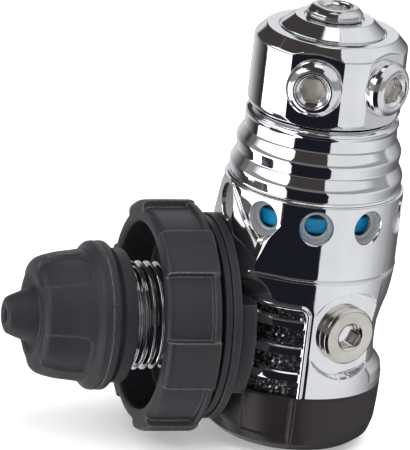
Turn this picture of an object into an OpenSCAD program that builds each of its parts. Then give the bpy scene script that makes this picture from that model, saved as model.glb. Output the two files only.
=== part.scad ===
// Balanced-piston first stage of a scuba regulator, with a DIN connection and a swivel turret.
// All sizes are millimetres. The body axis is Z, the base rests on Z = 0, and the DIN axis points along -X.

/* [Body] */
// Outside radius of the chromed body barrel
body_r = 18.9; // [18.6:0.1:19.2]
// Height of the joint between the base cover and the body
cover_z = 13.6; // [13.2:0.1:14]
// Height of the fine bead line round the body
bead_z = 39.3; // [38.8:0.1:39.8]
// Height of the joint between the body and the ridged cap
seam_z = 55.9; // [55.6:0.1:56.2]
// Smallest radius of the waist at the back of the body
waist_r = 16.5; // [16.2:0.1:17.5]
// Half angle of the waist, measured from the side away from the DIN connection
waist_angle = 52; // [40:1:55]

/* [Water windows] */
// Number of windows that let water reach the main spring
window_count = 10; // [6:1:10]
// Height of the window centres
window_z = 51.2; // [50.8:0.1:51.4]
// Radius of the through hole of a window
window_hole_r = 2.5; // [2:0.1:2.8]
// Radius of the countersunk mouth of a window
window_mouth_r = 3.8; // [3.2:0.1:3.9]
// Angle of the first window
window_phase = -176.5; // [-180:0.5:-170]

/* [High pressure ports] */
// Height of the high pressure port axis
side_port_z = 27.3; // [26.8:0.1:27.8]
// Angle between the +X axis and each high pressure port
side_port_angle = 73; // [70:1:76]
// Distance of the flat port seat from the body axis
side_seat_d = 17; // [16.8:0.1:17.2]
// Radius of the circular seat round the port
side_seat_r = 9.15; // [8:0.05:9.3]
// Radius of the port hole, for a 7/16 inch thread
side_port_r = 5.55; // [5.5:0.01:5.6]
// Radius of the flat plug head
side_head_r = 6.2; // [6.15:0.05:6.5]
// Thickness of the flat plug head
side_head_t = 2.2; // [2:0.1:3]

/* [Ridged cap and turret] */
// Height of the flat top of the ridged cap
cap_top_z = 71.2; // [71:0.1:71.4]
// Radius of the cylinder bore in which the piston head slides
piston_bore_r = 15; // [14.9:0.05:15.1]
// Height of the turret's lower face
turret_z = 71.5; // [71.45:0.05:71.7]
// Outside radius of the turret
turret_r = 16.05; // [15.9:0.05:16.3]
// Height where the turret's lower cone starts
turret_cone_z = 86.6; // [86.3:0.1:86.9]
// Height of the turret's flat ledge
ledge_z = 89; // [88.9:0.05:89.1]
// Outer radius of the ledge
ledge_r = 13.7; // [13.2:0.1:14.2]
// Distance of the port flats from the turret axis
flat_d = 15.1; // [14.9:0.05:15.4]
// Height of the low pressure port axes
lp_z = 80.2; // [79.8:0.1:80.6]
// Angle of the first low pressure port
lp_first = -118; // [-180:1:180]
// Angle between the two ports of a pair
lp_pair = 61; // [56:1:64]
// Angle from the front pair of ports to the rear pair
lp_rear = 164; // [155:1:180]
// Radius of the low pressure port thread, for a 3/8 inch thread
lp_port_r = 4.76; // [4.7:0.01:4.8]
// Radius of a domed port plug head
lp_head_r = 5.95; // [5.9:0.05:6.2]
// Height of a domed port plug head
lp_head_t = 3.2; // [2.8:0.1:3.6]
// Height of the lower head of the plug in the turret's top
top_head_t = 2.5; // [2.3:0.1:3.2]

/* [Piston] */
// Opening travel of the piston
piston_travel = 1.2; // [0.8:0.1:1.2]
// Radius of the hollow piston stem
stem_r = 4; // [3.8:0.05:4.05]
// Wire radius of the main spring
spring_wire_r = 1.5; // [1.2:0.1:1.6]
// Mean coil radius of the main spring
spring_coil_r = 11; // [10.6:0.1:11.2]
// Number of turns of the main spring
spring_turns = 5; // [4:0.5:5.5]

/* [DIN connection] */
// Height of the DIN axis
din_z = 25.2; // [25:0.1:25.4]
// Major radius of the G 5/8 inch DIN thread
din_thread_r = 11.456; // [11.4:0.001:11.5]
// Distance of the thread's front end from the body axis
din_thread_end = 50; // [49.5:0.1:50.1]
// Radius of the retainer stem inside the coupling
din_stem_r = 7.5; // [7.4:0.05:7.55]
// Radius of the black collar disc
collar_r = 21.7; // [21:0.1:22]
// Radius over the grip lobes of the handwheel
wheel_r = 24.3; // [23.8:0.1:24.6]
// Radius of the panels between the grip lobes
wheel_panel_r = 22.9; // [22:0.1:23.2]
// Radius of the cavity inside the handwheel
wheel_cavity_r = 19.6; // [19:0.1:20]
// Number of grip lobes
lobe_count = 6; // [5:1:8]
// Angular width of one grip lobe
lobe_width = 26; // [18:1:30]
// Angle of the first grip lobe
lobe_phase = -35.5; // [-60:0.5:60]
// Distance of the dust cap's rear end from the body axis
dust_cap_rear = 39.1; // [39:0.1:40.2]
// Outside radius of the dust cap's skirt
dust_cap_r = 14.05; // [13.9:0.05:14.3]

/* [Hidden] */

$fn = 96;
eps = 0.01;
slip = 0.05;              // gap between parts that slide or screw together

chamber_r = 15.2;         // spring chamber inside the body
chamber_floor_z = 40.5;
spigot_z = 60;            // top of the body spigot inside the ridged cap
spigot_r = 16.4;
valve_r = 7.2;            // high pressure chamber
valve_floor_z = 20.2;
valve_roof_z = 33;
plug_bore_r = 9;          // seat retainer thread
body_foot_z = 10.5;       // body spigot inside the base cover
body_foot_r = 16;
boss_r = 13.2;            // short boss that carries the DIN stem
boss_end = 19;
crown_r = 20.3;           // upper part of the boss, which carries the collar
socket_depth = 9.5;
passage_r = 3.2;

rib_pitch = 5.9;          // cast ribs beside the DIN boss
rib_t = 2.6;
rib_low_z = 14.2;
rib_depth = 1.5;
rib_from = 103;
rib_span = 31;

bolt_r = 6.4;             // hollow swivel bolt
bolt_foot_z = 66.8;
bolt_head_z = 89.2;
bolt_head_r = 10.95;
bolt_top_z = 91.6;
bolt_top_r = 8.15;
bolt_bore_r = 3;
gallery_r = 10.5;         // gas gallery inside the turret
gallery_low_z = 74.2;
gallery_high_z = 85.4;

head_low_z = 61.6;        // piston head
head_high_z = 65.4;
head_r = piston_bore_r - 0.1;
stem_end_z = 24;
seat_top_z = stem_end_z - piston_travel - slip;

plug_shank_l = 6;
hex_r = 2.85;             // corner radius of the hexagon sockets
hex_depth = 3.4;

collar_rear = 19.1;
collar_front = 22.5;
wheel_rear = 23.9;
wheel_front = 35.4;
wheel_floor = 27.5;
hub_r = 13;
nose_r = 10.2;
nose_end = 51.8;
stem_front = 52.3;
stem_head_rear = 47.95;
stem_head_r = 9.2;
dust_cap_tip = 64.2;

lp_angles = [lp_first, lp_first + lp_pair, lp_first + lp_rear, lp_first + lp_rear + lp_pair];

// Puts a shape drawn along +Z onto the DIN axis, so that its height becomes the distance along -X
module on_din() {
    translate([0, 0, din_z]) rotate([0, -90, 0]) children();
}

// Puts a shape drawn along +Z onto a radial axis of the body, at angle a and height z
module on_port(a, z) {
    translate([0, 0, z]) rotate([0, 0, a]) rotate([0, 90, 0]) children();
}

module ring(outer, inner, low, high) {
    translate([0, 0, low]) difference() {
        cylinder(r = outer, h = high - low);
        translate([0, 0, -eps]) cylinder(r = inner, h = high - low + 2 * eps);
    }
}

module oring(mean_r, wire_r, z) {
    translate([0, 0, z]) rotate_extrude() translate([mean_r, 0]) circle(r = wire_r, $fn = 32);
}

module hex_socket(top, depth) {
    translate([0, 0, top - depth]) cylinder(r = hex_r, h = depth + eps, $fn = 6);
}

// One mesh tube that follows a helix, with flat closed ends
module coil(mean_r, wire_r, low, high, turns, per_turn, sides) {
    rings = round(turns * per_turn);
    rise = high - low - 2 * wire_r;
    pts = [for (i = [0 : rings], s = [0 : sides - 1])
        let (a = 360 * turns * i / rings, b = 360 * s / sides,
             r = mean_r + wire_r * cos(b), z = low + wire_r + rise * i / rings + wire_r * sin(b))
        [r * cos(a), r * sin(a), z]];
    skin = [for (i = [0 : rings - 1], s = [0 : sides - 1])
        let (n = (s + 1) % sides)
        [i * sides + s, i * sides + n, (i + 1) * sides + n, (i + 1) * sides + s]];
    polyhedron(points = pts, faces = concat(
        [[for (s = [sides - 1 : -1 : 0]) s]], skin, [[for (s = [0 : sides - 1]) rings * sides + s]]));
}

// Body casting: barrel, waist, DIN boss and the bores of the valve
module body() {
    color("silver") difference() {
        union() {
            translate([0, 0, cover_z]) cylinder(r = body_r, h = seam_z - cover_z);
            translate([0, 0, body_foot_z]) cylinder(r = body_foot_r, h = cover_z - body_foot_z + eps);
            translate([0, 0, seam_z - eps]) cylinder(r = spigot_r, h = spigot_z - seam_z + eps);
            intersection() {
                on_din() cylinder(r = boss_r, h = boss_end);
                translate([-boss_end - 1, -boss_r - 1, cover_z])
                    cube([boss_end + 1, 2 * boss_r + 2, 2 * boss_r]);
            }
            intersection() {
                on_din() cylinder(r = crown_r, h = boss_end);
                translate([-boss_end - 1, -crown_r, bead_z + 0.6]) cube([boss_end + 1, 2 * crown_r, crown_r]);
            }
        }
        body_waist();
        bead_groove();
        for (i = [0 : window_count - 1]) window_cut(window_phase + 360 * i / window_count);
        for (side = [-1, 1]) {
            side_port_cut(side * side_port_angle);
            rib_pockets(side);
        }
        translate([0, 0, chamber_floor_z]) cylinder(r = chamber_r, h = spigot_z);
        translate([0, 0, valve_floor_z]) cylinder(r = valve_r, h = valve_roof_z - valve_floor_z);
        translate([0, 0, body_foot_z - eps])
            cylinder(r = plug_bore_r, h = valve_floor_z - body_foot_z + 2 * eps);
        translate([0, 0, valve_roof_z - eps]) cylinder(r = stem_r + 0.2, h = chamber_floor_z);
        translate([0, 0, valve_roof_z + 0.5]) cylinder(r = 6.5, h = chamber_floor_z);
        translate([0, 0, chamber_floor_z - 1.2]) cylinder(r = 7.5, h = 2);
        on_din() translate([0, 0, socket_depth]) cylinder(r = din_stem_r + slip, h = boss_end);
        on_din() cylinder(r = passage_r, h = boss_end);
    }
}

module body_waist() {
    mid_z = side_port_z - 4;
    rotate([0, 0, -waist_angle]) rotate_extrude(angle = 2 * waist_angle)
        polygon([
            [body_r + 1, cover_z + 0.4], [waist_r + 0.9, cover_z + 3.4],
            [waist_r, mid_z - 3], [waist_r, mid_z + 1], [waist_r + 0.6, mid_z + 4],
            [body_r - 0.6, mid_z + 9.5], [body_r + 1, bead_z + 5.5]
        ]);
}

module bead_groove() {
    rotate_extrude() polygon([
        [body_r + 1, bead_z - 0.5], [body_r - 0.3, bead_z], [body_r + 1, bead_z + 0.5]
    ]);
}

module window_cut(a) {
    sink = 2;
    on_port(a, window_z) {
        cylinder(r = window_hole_r, h = body_r + 1, $fn = 48);
        translate([0, 0, body_r - sink])
            cylinder(r1 = window_hole_r, r2 = window_mouth_r, h = sink, $fn = 48);
        translate([0, 0, body_r - eps]) cylinder(r = window_mouth_r, h = 2, $fn = 48);
    }
}

module side_port_cut(a) {
    on_port(a, side_port_z) {
        translate([0, 0, side_seat_d]) cylinder(r = side_seat_r, h = 6);
        translate([0, 0, side_seat_d - plug_shank_l - 1.8]) cylinder(r = side_port_r, h = 12);
        translate([0, 0, side_seat_d - 1.15]) cylinder(r = side_head_r - 0.1, h = 3);
        cylinder(r = 2, h = side_seat_d);
    }
}

module rib_pockets(side) {
    from = side > 0 ? rib_from : -rib_from - rib_span;
    for (i = [0 : 3])
        rotate([0, 0, from]) rotate_extrude(angle = rib_span)
            translate([body_r - rib_depth, rib_low_z + i * rib_pitch])
                square([rib_depth + 1, i == 3 ? 2.3 : rib_pitch - rib_t]);
}

// Screwed cap over the spring chamber, with two raised ridges
module ridged_cap() {
    color("silver") difference() {
        rotate_extrude() polygon([
            [0, seam_z], [18.4, seam_z], [18, seam_z + 0.5], [18.2, 59], [17.8, 60],
            [17.1, 61.3], [17.05, 61.8], [17.35, 64.1], [16.95, 65.2], [16.1, 66.7],
            [15.9, 69.3], [16.2, 69.8], [16.2, 70.4], [15.7, 70.9], [15, cap_top_z], [0, cap_top_z]
        ]);
        translate([0, 0, seam_z - eps]) cylinder(r = spigot_r + slip, h = spigot_z - seam_z + 0.3);
        translate([0, 0, seam_z]) cylinder(r = piston_bore_r, h = bolt_foot_z - seam_z);
        translate([0, 0, seam_z]) cylinder(r = bolt_r + slip, h = cap_top_z);
        ring(12.1, 7.9, cap_top_z - 0.6, cap_top_z + 1);
    }
}

// Turret that turns on the hollow bolt and carries four low pressure ports
module turret() {
    color("silver") difference() {
        rotate_extrude() polygon([
            [0, turret_z], [turret_r - 1.2, turret_z], [turret_r - 0.35, turret_z + 0.4],
            [turret_r, turret_z + 1.3], [turret_r, turret_cone_z], [ledge_r, ledge_z], [0, ledge_z]
        ]);
        translate([0, 0, turret_z - eps]) cylinder(r = bolt_r + 0.06, h = ledge_z);
        translate([0, 0, gallery_low_z]) cylinder(r = gallery_r, h = gallery_high_z - gallery_low_z);
        for (z = [turret_z + 0.4, gallery_high_z + 1]) translate([0, 0, z]) cylinder(r = 8.15, h = 1.8);
        for (a = lp_angles) lp_port_cut(a);
    }
}

module lp_port_cut(a) {
    on_port(a, lp_z) {
        translate([-20, -turret_r, flat_d]) cube([40, 2 * turret_r, 6]);
        translate([0, 0, gallery_r - 1.5]) cylinder(r = lp_port_r, h = 10);
        translate([0, 0, flat_d - 1.15]) cylinder(r = lp_head_r - 0.05, h = 3);
    }
}

// Hollow bolt that holds the turret, with the axial port in its conical head
module turret_bolt() {
    color("silver") difference() {
        union() {
            translate([0, 0, bolt_foot_z + 0.2]) cylinder(r = bolt_r, h = bolt_head_z - bolt_foot_z);
            rotate_extrude() polygon([
                [0, bolt_head_z], [bolt_head_r, bolt_head_z], [bolt_top_r, bolt_top_z], [0, bolt_top_z]
            ]);
        }
        translate([0, 0, bolt_foot_z]) cylinder(r = bolt_bore_r, h = bolt_top_z);
        translate([0, 0, bolt_top_z - 8.4]) cylinder(r = lp_port_r, h = 10);
        translate([0, 0, bolt_top_z - 1.15]) cylinder(r = lp_head_r - 0.05, h = 3);
        for (a = [45, 135])
            translate([0, 0, lp_z]) rotate([90, 0, a]) cylinder(r = 1.8, h = 20, center = true);
    }
}

module thrust_washer() {
    color("ivory") ring(12, 8, cap_top_z - 0.6, cap_top_z + 0.1);
}

module swivel_orings() {
    color([0.08, 0.08, 0.08]) for (z = [turret_z + 1.3, gallery_high_z + 1.9]) oring(7.22, 0.8, z);
}

// Domed plug with a hexagon socket, drawn along +Z with its head's underside at 0
module domed_plug(head_t) {
    difference() {
        union() {
            translate([0, 0, -plug_shank_l]) cylinder(r = lp_port_r - slip, h = plug_shank_l + eps);
            rotate_extrude() polygon([
                [0, 0], [lp_head_r, 0], [lp_head_r, 0.35 * head_t], [lp_head_r - 0.5, 0.62 * head_t],
                [4.2, head_t - 0.2], [3.3, head_t], [0, head_t]
            ]);
        }
        hex_socket(head_t, hex_depth);
        translate([0, 0, head_t - 0.5]) cylinder(r1 = 2.6, r2 = 3.2, h = 0.6);
    }
}

module lp_plugs() {
    color("gainsboro") for (a = lp_angles) on_port(a, lp_z) translate([0, 0, flat_d]) domed_plug(lp_head_t);
}

module lp_plug_orings() {
    color([0.08, 0.08, 0.08]) for (a = lp_angles) on_port(a, lp_z) oring(5.3, 0.5, flat_d - 0.6);
}

module top_plug() {
    color("gainsboro") translate([0, 0, bolt_top_z]) domed_plug(top_head_t);
}

module top_plug_oring() {
    color([0.08, 0.08, 0.08]) oring(5.3, 0.5, bolt_top_z - 0.6);
}

// Flat plug of a high pressure port
module high_pressure_plugs() {
    neck_r = 4.9;
    color([0.75, 0.72, 0.66]) for (side = [-1, 1])
        on_port(side * side_port_angle, side_port_z) translate([0, 0, side_seat_d]) difference() {
            union() {
                translate([0, 0, -plug_shank_l]) cylinder(r = side_port_r - slip, h = plug_shank_l - 1.3);
                translate([0, 0, -1.4]) cylinder(r = neck_r, h = 1.5);
                rotate_extrude() polygon([
                    [0, 0], [side_head_r, 0], [side_head_r, side_head_t - 0.5],
                    [side_head_r - 0.5, side_head_t], [0, side_head_t]
                ]);
            }
            hex_socket(side_head_t, hex_depth);
            translate([0, 0, side_head_t - 0.5]) cylinder(r1 = 2.6, r2 = 3.2, h = 0.6);
        }
}

module high_pressure_orings() {
    color([0.08, 0.08, 0.08]) for (side = [-1, 1])
        on_port(side * side_port_angle, side_port_z) oring(5.5, 0.5, side_seat_d - 0.6);
}

// Piston head and hollow stem, which moves down to close the valve
module piston() {
    groove_z = (head_low_z + head_high_z) / 2;
    color("lightgrey") difference() {
        union() {
            translate([0, 0, head_low_z]) cylinder(r = head_r, h = head_high_z - head_low_z);
            translate([0, 0, head_high_z - eps]) cylinder(r = 8, h = bolt_foot_z - head_high_z - 0.2);
            translate([0, 0, stem_end_z + 1]) cylinder(r = stem_r, h = head_low_z - stem_end_z);
            translate([0, 0, stem_end_z]) cylinder(r1 = 2.9, r2 = stem_r, h = 1 + eps);
        }
        ring(head_r + 1, 13.2, groove_z - 0.95, groove_z + 0.95);
        translate([0, 0, stem_end_z - eps]) cylinder(r = 2.5, h = 50);
    }
}

module piston_head_oring() {
    color([0.08, 0.08, 0.08]) oring(14.1, 0.85, (head_low_z + head_high_z) / 2);
}

module spring_top_washer() {
    color("white") ring(12.9, stem_r + 0.05, head_low_z - 0.9, head_low_z - 0.02);
}

module main_spring() {
    color("lightsteelblue")
        coil(spring_coil_r, spring_wire_r, chamber_floor_z + 1.25, head_low_z - 1, spring_turns, 24, 8);
}

module spring_base_washer() {
    color("royalblue") ring(12.9, 7.7, chamber_floor_z, chamber_floor_z + 1.15);
}

// Blue sleeve that keeps cold water off the spring, seen through the windows
module insulator_sleeve() {
    color([0.1, 0.45, 0.7]) ring(chamber_r - 0.1, 13.4, chamber_floor_z, spigot_z - 0.2);
}

module stem_bushing() {
    color("ivory") ring(6.45, stem_r + 0.06, valve_roof_z + 2.1, chamber_floor_z - 1.25);
}

module stem_oring() {
    color([0.08, 0.08, 0.08]) oring(4.75, 0.7, valve_roof_z + 1.3);
}

module bushing_retainer() {
    color("lightgrey") ring(7.45, stem_r + 0.2, chamber_floor_z - 1.2, chamber_floor_z);
}

module valve_seat() {
    color("white") translate([0, 0, seat_top_z - 2.6]) cylinder(r = 5, h = 2.6);
}

module seat_carrier() {
    floor_z = seat_top_z - 4.2;
    color("lightgrey") difference() {
        translate([0, 0, floor_z]) cylinder(r = 6.3, h = 3.6);
        translate([0, 0, seat_top_z - 2.62]) cylinder(r = 5 + slip, h = 5);
    }
}

module seat_spring() {
    color("lightsteelblue") coil(4.6, 0.5, 14.6, seat_top_z - 4.25, 3, 20, 6);
}

// Screwed plug that closes the valve chamber from below and guides the seat carrier
module seat_retainer() {
    color("lightgrey") difference() {
        union() {
            translate([0, 0, 8]) cylinder(r = plug_bore_r - slip, h = valve_floor_z - 8.2);
            translate([0, 0, 7.5]) cylinder(r = 12.5, h = body_foot_z - 7.6);
        }
        translate([0, 0, 14.5]) cylinder(r = 6.4, h = 10);
        translate([0, 0, 7.4]) cylinder(r = 4, h = 4.5, $fn = 6);
        ring(plug_bore_r + 1, 7.5, 16.8, 18.7);
    }
}

module seat_retainer_oring() {
    color([0.08, 0.08, 0.08]) oring(8.25, 0.7, 17.75);
}

// Black cap over the foot of the body, which the stage stands on
module base_cover() {
    foot_r = 14;
    round_r = 4.9;
    color([0.15, 0.14, 0.14]) difference() {
        rotate_extrude() {
            square([foot_r, cover_z - 0.1]);
            translate([foot_r, round_r]) circle(r = round_r, $fn = 64);
            translate([0, round_r]) square([foot_r + round_r, cover_z - 0.1 - round_r]);
        }
        translate([0, 0, 3]) cylinder(r = body_foot_r + slip, h = cover_z);
    }
}

// Pair of black pads that fill the sides between the barrel and the collar disc
module side_pads() {
    pad_r = 19.4;
    color([0.2, 0.2, 0.21]) difference() {
        on_din() ring(pad_r, boss_r + slip, 15, boss_end);
        translate([0, 0, -1]) cylinder(r = body_r + slip, h = 90);
        translate([-30, -30, bead_z - 5.2]) cube([40, 60, 30]);
        translate([-30, -30, -1]) cube([40, 60, cover_z + 1.1]);
    }
}

module collar_disc() {
    color([0.2, 0.2, 0.21]) on_din() ring(collar_r, din_stem_r + 0.1, collar_rear, collar_front - 1.5);
}

module collar_lip() {
    color([0.2, 0.2, 0.21]) on_din()
        ring(collar_r - 0.5, din_stem_r + 0.1, collar_front - 1.45, collar_front);
}

// Hollow stem that screws into the body and carries the coupling
module din_stem() {
    pocket = 44;
    color("silver") on_din() difference() {
        union() {
            translate([0, 0, socket_depth + 0.1]) cylinder(r = din_stem_r, h = stem_head_rear - socket_depth);
            translate([0, 0, stem_head_rear]) cylinder(r = stem_head_r, h = stem_front - stem_head_rear);
        }
        cylinder(r = 2.6, h = stem_front + 1);
        translate([0, 0, pocket]) cylinder(r = 5.5, h = 10);
        ring(8.15, 6.05, stem_front - 1.2, stem_front + 1);
        ring(din_stem_r + 1, 6, 16, 17.7);
    }
}

module din_stem_oring() {
    color([0.08, 0.08, 0.08]) on_din() oring(6.77, 0.72, 16.85);
}

// Sintered cone that filters the incoming gas
module din_filter() {
    color([0.72, 0.52, 0.3]) on_din() translate([0, 0, 44.1]) cylinder(r1 = 5.3, r2 = 3.2, h = 6.9);
}

module filter_snap_ring() {
    color("lightgrey") on_din() difference() {
        ring(5.4, 4.3, 51.15, 51.85);
        translate([0, -1.2, 50]) cube([8, 2.4, 4]);
    }
}

module din_face_oring() {
    color([0.08, 0.08, 0.08]) on_din() oring(7.1, 0.95, stem_front - 0.2);
}

module coupling_washer() {
    color("ivory") on_din() ring(12, din_stem_r + 0.1, collar_front + 0.1, wheel_rear - 0.3);
}

// Threaded DIN coupling that turns with the handwheel; the thread is drawn at its major diameter
module din_coupling() {
    color("silver") on_din() difference() {
        union() {
            translate([0, 0, wheel_rear]) cylinder(r = hub_r, h = wheel_floor - wheel_rear + 0.1);
            translate([0, 0, wheel_floor]) cylinder(r = din_thread_r, h = din_thread_end - wheel_floor);
            translate([0, 0, din_thread_end - eps]) cylinder(r = nose_r, h = nose_end - din_thread_end);
        }
        translate([0, 0, wheel_rear - 1]) cylinder(r = din_stem_r + 0.06, h = 40);
        translate([0, 0, stem_head_rear - 0.3]) cylinder(r = stem_head_r + 0.15, h = 10);
    }
}

// Moulded handwheel with grip lobes and a deep cavity round the thread
module handwheel() {
    color([0.22, 0.22, 0.23]) on_din() difference() {
        union() {
            rotate_extrude() polygon([
                [0, wheel_rear], [20.5, wheel_rear], [wheel_panel_r, wheel_rear + 1],
                [wheel_panel_r, wheel_front - 1.2], [wheel_panel_r - 1.2, wheel_front], [0, wheel_front]
            ]);
            for (i = [0 : lobe_count - 1])
                rotate([0, 0, lobe_phase + 360 * i / lobe_count - lobe_width / 2])
                    rotate_extrude(angle = lobe_width) polygon([
                        [18, wheel_rear + 0.2], [wheel_r, wheel_rear + 0.2], [wheel_r, wheel_front - 1.4],
                        [wheel_r - 1.4, wheel_front], [18, wheel_front]
                    ]);
        }
        translate([0, 0, wheel_floor]) cylinder(r = wheel_cavity_r, h = 20);
        translate([0, 0, wheel_rear - 1]) cylinder(r = hub_r + slip, h = 20);
    }
}

// Soft cap pushed over the thread, with a flange to pull and a nipple
module dust_cap() {
    flange_r = dust_cap_r + 1.6;
    shoulder_r = dust_cap_r - 0.2;
    color([0.2, 0.2, 0.21]) on_din() difference() {
        rotate_extrude() polygon([
            [0, dust_cap_rear], [dust_cap_r, dust_cap_rear], [dust_cap_r + 0.1, 42], [dust_cap_r + 1.3, 43.1],
            [flange_r, 43.8], [flange_r, 46.2], [dust_cap_r + 1, 47.1], [shoulder_r, 48.1],
            [13.65, 50], [13.2, 53.5], [12.6, 56], [12.1, 57.4], [11.6, 57.8], [10.7, 58.2], [8.9, 58.6],
            [7.2, 58.8], [6.4, 58.2], [6, 58.4], [4.1, 63.2], [3.6, dust_cap_tip - 0.3], [2.8, dust_cap_tip],
            [0, dust_cap_tip]
        ]);
        translate([0, 0, dust_cap_rear - 1]) cylinder(r = 12.5, h = din_thread_end + 1.3 - dust_cap_rear);
        translate([0, 0, dust_cap_rear]) cylinder(r = nose_r + 0.1, h = 53.8 - dust_cap_rear);
        translate([0, 0, dust_cap_tip - 2.5]) cylinder(r = 1.3, h = 3);
    }
}

body();
ridged_cap();
turret();
turret_bolt();
thrust_washer();
swivel_orings();
lp_plugs();
lp_plug_orings();
top_plug();
top_plug_oring();
high_pressure_plugs();
high_pressure_orings();
piston();
piston_head_oring();
spring_top_washer();
main_spring();
spring_base_washer();
insulator_sleeve();
stem_bushing();
stem_oring();
bushing_retainer();
valve_seat();
seat_carrier();
seat_spring();
seat_retainer();
seat_retainer_oring();
base_cover();
side_pads();
collar_disc();
collar_lip();
din_stem();
din_stem_oring();
din_filter();
filter_snap_ring();
din_face_oring();
coupling_washer();
din_coupling();
handwheel();
dust_cap();
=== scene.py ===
import math

import bmesh
import bpy
import numpy as np
from mathutils import Matrix, Vector


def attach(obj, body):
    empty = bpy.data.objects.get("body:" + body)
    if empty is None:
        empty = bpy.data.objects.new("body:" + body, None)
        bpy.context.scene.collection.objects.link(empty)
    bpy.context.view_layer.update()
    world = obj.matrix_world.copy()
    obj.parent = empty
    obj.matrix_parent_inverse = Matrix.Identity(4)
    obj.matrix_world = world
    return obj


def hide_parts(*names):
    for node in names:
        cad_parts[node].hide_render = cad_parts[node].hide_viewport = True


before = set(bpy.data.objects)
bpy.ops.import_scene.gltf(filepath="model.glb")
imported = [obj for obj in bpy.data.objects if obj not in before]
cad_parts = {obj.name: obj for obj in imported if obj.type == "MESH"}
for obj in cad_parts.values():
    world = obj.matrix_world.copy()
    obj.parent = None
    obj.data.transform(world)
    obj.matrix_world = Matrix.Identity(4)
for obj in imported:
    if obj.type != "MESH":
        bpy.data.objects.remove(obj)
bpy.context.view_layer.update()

MM = 0.001

# Sizes in millimetres and angles in degrees, in the frame of the CAD part:
# the body axis is Z and the DIN axis points along -X.
BODY_R = 18.9
COVER_Z = 13.6
BEAD_Z = 39.3
SEAM_Z = 55.9
CHAMBER_R = 15.2
CHAMBER_FLOOR = 40.5
PISTON_BORE_R, BORE_TOP_Z, BOLT_HOLE_R, CAP_TOP_Z = 15.0, 66.8, 6.45, 71.2
SIDE_Z, SIDE_ANGLE, SEAT_D, SEAT_R = 27.3, 73.0, 17.0, 9.15
WINDOW_Z, WINDOW_PHASE, WINDOW_COUNT = 51.2, -176.5, 10
WINDOW_HOLE_R, WINDOW_MOUTH_R, WINDOW_BORE_R = 2.36, 3.72, 3.3
LP_Z, LP_ANGLES, FLAT_D = 80.2, (-118.0, -57.0, 46.0, 107.0), 15.1
TURRET_Z, TURRET_R, CONE_Z, LEDGE_Z, LEDGE_R = 71.5, 16.05, 86.6, 89.0, 13.7
TURRET_NECK_R, BOLT_HEAD_R, BOLT_TOP_Z, BOLT_TOP_R = 12, 10.95, 91.6, 8.15
DIN_Z = 25.2
CROWN_END, CHEEK_D, CHEEK_ANGLE = 19.0, 18.76, 60.0
# the fairing's crease: its height at angles off the DIN direction; below it a lip, then a gentle slope
CREASE_ANGLES = [0, 17.5, 26.5, 38.6, 42, 46, 52.6, 60]
CREASE_Z = [58.8, 53.5, 50.1, 46.9, 47.3, 48.4, 50.9, 53.8]
WEB_LIP, WEB_LIP_HEIGHT, WEB_SLOPE, WEB_START_Z, WEB_FULL_Z = 0.32, 0.9, 0.15, 34.2, 38.6
RIB_CENTRES, RIB_T, RIB_DEPTH, RIB_PITCH = (18.05, 23.8, 29.7), 3.2, 1.15, 5.85
# where the ribs' panel lies and its corners; the ribs' bevels and crowns as shares; bumps between the ribs
RIB_PANEL_AZ, RIB_PANEL_Z, RIB_PANEL_CORNER = (104.0, 141.0), (11.0, 33.0), 1.5
RIB_BEVEL, RIB_CROWN, BUMP_SPOTS = 0.49, 0.16, (-1.4, 0.1)
THREAD_R, THREAD_PITCH, THREAD_DEPTH = 11.456, 1.814, 1.1
COVER_BEADS, COVER_BEAD_HEIGHT, COVER_PANEL_DEPTH = (104.6, 106.4), 0.13, 0.45
PAD_OUTER_R, PAD_INNER_R, PAD_WALL_R = 19.35, 13.4, BODY_R + 0.12
PAD_BACK_X, PAD_FRONT_X, PAD_TOP_Z = -15.05, -19.0, 34.0
LOBE_COUNT, LOBE_WIDTH, LOBE_PHASE = 6, 26.0, -35.5
CAP_REAR, CAP_PANEL_PHASE, CAP_PANEL_HALF_ANGLE = 39.1, -20.0, 21.0
CAP_PANEL_MIDDLE, CAP_PANEL_HALF_LENGTH, CAP_PANEL_DEPTH = 53.5, 5.1, 0.7
SOCKET_R = 2.85
SIDE_HEAD_T, TOP_HEAD_SCALE = 2.2, 0.79
DOME_RIM_Z, SIDE_RIM_Z, FLOOR_BELOW_RIM = 2.75, 2.18, 1.9


# ---------------------------------------------------------------- shape helpers

def soften(points, radius, steps=4):
    """The profile with every corner turned into a short curve, and a support point beside each curve."""
    pts = [np.array(p, float) for p in points]
    out = [pts[0]]
    for a, b, c in zip(pts, pts[1:], pts[2:]):
        back, ahead = a - b, c - b
        la, lc = np.linalg.norm(back), np.linalg.norm(ahead)
        cut = min(radius, 0.42 * la, 0.42 * lc)
        if la > 3 * cut:
            out.append(b + back / la * cut * 1.35)
        for t in np.linspace(0, 1, steps + 1):
            p, q = b + back / la * cut, b + ahead / lc * cut
            out.append((1 - t) ** 2 * p + 2 * t * (1 - t) * b + t * t * q)
        if lc > 3 * cut:
            out.append(b + ahead / lc * cut * 1.35)
    out.append(pts[-1])
    return np.array(out)


def finer(profile, step):
    """The profile with long stretches divided so that no stretch is longer than step."""
    out = [profile[0]]
    for a, b in zip(profile, profile[1:]):
        n = max(1, math.ceil(np.linalg.norm(b - a) / step))
        out += [a + (b - a) * (i / n) for i in range(1, n + 1)]
    return np.array(out)


def smoothstep(lo, hi, x):
    t = np.clip((np.asarray(x, float) - lo) / (hi - lo), 0, 1)
    return t * t * (3 - 2 * t)


def smin(a, b, k):
    h = np.clip(0.5 + 0.5 * (b - a) / k, 0, 1)
    return b * (1 - h) + a * h - k * h * (1 - h)


def wrap_deg(a):
    return (np.asarray(a, float) + 180) % 360 - 180


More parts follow.
